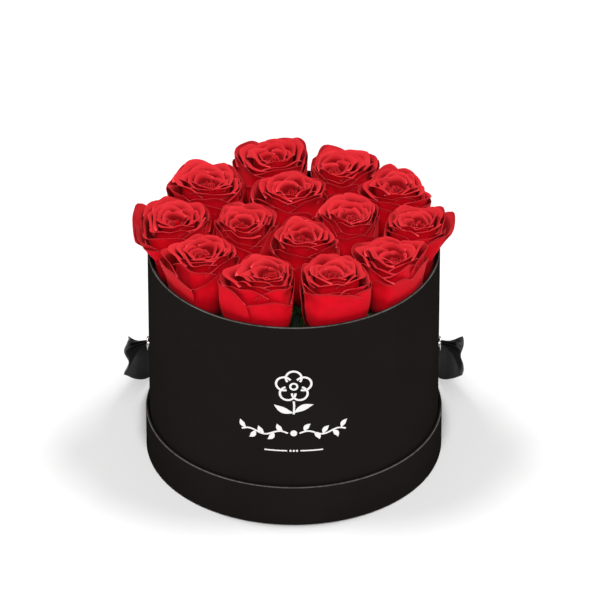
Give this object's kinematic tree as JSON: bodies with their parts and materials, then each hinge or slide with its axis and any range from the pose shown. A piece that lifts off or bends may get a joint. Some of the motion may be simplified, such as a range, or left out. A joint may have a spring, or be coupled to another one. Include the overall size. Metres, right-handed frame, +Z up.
{
  "type": "flower box",
  "caption": "Round black hat box standing in its upturned lid, packed with red roses whose stems stand in foam, with a ribbon carry handle held by metal eyelets.",
  "frame": {"origin": "centre of the lid's flat underside, on the table", "axes": "+Z up along the box's axis; +X through the right-hand eyelet; +Y towards the back, where the ribbon handle lies"},
  "size_m": [0.2334, 0.2491, 0.1933],
  "materials": {
    "wrapped_board": "matte",
    "eyelet_metal": "polished",
    "liner_film": "satin",
    "floral_foam": "matte",
    "satin_ribbon": "satin",
    "rose_petals": "matte",
    "rose_green": "matte"
  },
  "bodies": {
    "lid": {"lid_hoop": "wrapped_board", "lid_panel": "wrapped_board"},
    "box": {"box_wall": "wrapped_board", "box_floor": "wrapped_board", "eyelet_left": "eyelet_metal", "eyelet_right": "eyelet_metal", "washer_left": "eyelet_metal", "washer_right": "eyelet_metal", "foam_liner": "liner_film", "foam_block": "floral_foam"},
    "handle": {"ribbon_handle": "satin_ribbon", "ribbon_knot_left": "satin_ribbon", "ribbon_knot_right": "satin_ribbon"},
    "rose_01": {"rose_01_bloom": "rose_petals", "rose_01_calyx": "rose_green", "rose_01_stem": "rose_green"},
    "rose_02": {"rose_02_bloom": "rose_petals", "rose_02_calyx": "rose_green", "rose_02_stem": "rose_green"},
    "rose_03": {"rose_03_bloom": "rose_petals", "rose_03_calyx": "rose_green", "rose_03_stem": "rose_green"},
    "rose_04": {"rose_04_bloom": "rose_petals", "rose_04_calyx": "rose_green", "rose_04_stem": "rose_green"},
    "rose_05": {"rose_05_bloom": "rose_petals", "rose_05_calyx": "rose_green", "rose_05_stem": "rose_green"},
    "rose_06": {"rose_06_bloom": "rose_petals", "rose_06_calyx": "rose_green", "rose_06_stem": "rose_green"},
    "rose_07": {"rose_07_bloom": "rose_petals", "rose_07_calyx": "rose_green", "rose_07_stem": "rose_green"},
    "rose_08": {"rose_08_bloom": "rose_petals", "rose_08_calyx": "rose_green", "rose_08_stem": "rose_green"},
    "rose_09": {"rose_09_bloom": "rose_petals", "rose_09_calyx": "rose_green", "rose_09_stem": "rose_green"},
    "rose_10": {"rose_10_bloom": "rose_petals", "rose_10_calyx": "rose_green", "rose_10_stem": "rose_green"},
    "rose_11": {"rose_11_bloom": "rose_petals", "rose_11_calyx": "rose_green", "rose_11_stem": "rose_green"},
    "rose_12": {"rose_12_bloom": "rose_petals", "rose_12_calyx": "rose_green", "rose_12_stem": "rose_green"},
    "rose_13": {"rose_13_bloom": "rose_petals", "rose_13_calyx": "rose_green", "rose_13_stem": "rose_green"},
    "rose_14": {"rose_14_bloom": "rose_petals", "rose_14_calyx": "rose_green", "rose_14_stem": "rose_green"}
  },
  "joints": [
    {"name": "box_lift", "type": "slide", "parent": "lid", "child": "box", "axis": [0, 0, 1], "range_m": [0, 0.04]},
    {"name": "handle_swing", "type": "hinge", "parent": "box", "child": "handle", "pos_m": [0, 0, 0.0815], "axis": [1, 0, 0], "range_deg": [0, 230]},
    {"name": "rose_01_pull", "type": "slide", "parent": "box", "child": "rose_01", "axis": [0, 0, 1], "range_m": [0, 0.18]},
    {"name": "rose_02_pull", "type": "slide", "parent": "box", "child": "rose_02", "axis": [0, 0, 1], "range_m": [0, 0.18]},
    {"name": "rose_03_pull", "type": "slide", "parent": "box", "child": "rose_03", "axis": [0, 0, 1], "range_m": [0, 0.18]},
    {"name": "rose_04_pull", "type": "slide", "parent": "box", "child": "rose_04", "axis": [0, 0, 1], "range_m": [0, 0.18]},
    {"name": "rose_05_pull", "type": "slide", "parent": "box", "child": "rose_05", "axis": [0, 0, 1], "range_m": [0, 0.18]},
    {"name": "rose_06_pull", "type": "slide", "parent": "box", "child": "rose_06", "axis": [0, 0, 1], "range_m": [0, 0.18]},
    {"name": "rose_07_pull", "type": "slide", "parent": "box", "child": "rose_07", "axis": [0, 0, 1], "range_m": [0, 0.18]},
    {"name": "rose_08_pull", "type": "slide", "parent": "box", "child": "rose_08", "axis": [0, 0, 1], "range_m": [0, 0.18]},
    {"name": "rose_09_pull", "type": "slide", "parent": "box", "child": "rose_09", "axis": [0, 0, 1], "range_m": [0, 0.18]},
    {"name": "rose_10_pull", "type": "slide", "parent": "box", "child": "rose_10", "axis": [0, 0, 1], "range_m": [0, 0.18]},
    {"name": "rose_11_pull", "type": "slide", "parent": "box", "child": "rose_11", "axis": [0, 0, 1], "range_m": [0, 0.18]},
    {"name": "rose_12_pull", "type": "slide", "parent": "box", "child": "rose_12", "axis": [0, 0, 1], "range_m": [0, 0.18]},
    {"name": "rose_13_pull", "type": "slide", "parent": "box", "child": "rose_13", "axis": [0, 0, 1], "range_m": [0, 0.18]},
    {"name": "rose_14_pull", "type": "slide", "parent": "box", "child": "rose_14", "axis": [0, 0, 1], "range_m": [0, 0.18]}
  ]
}
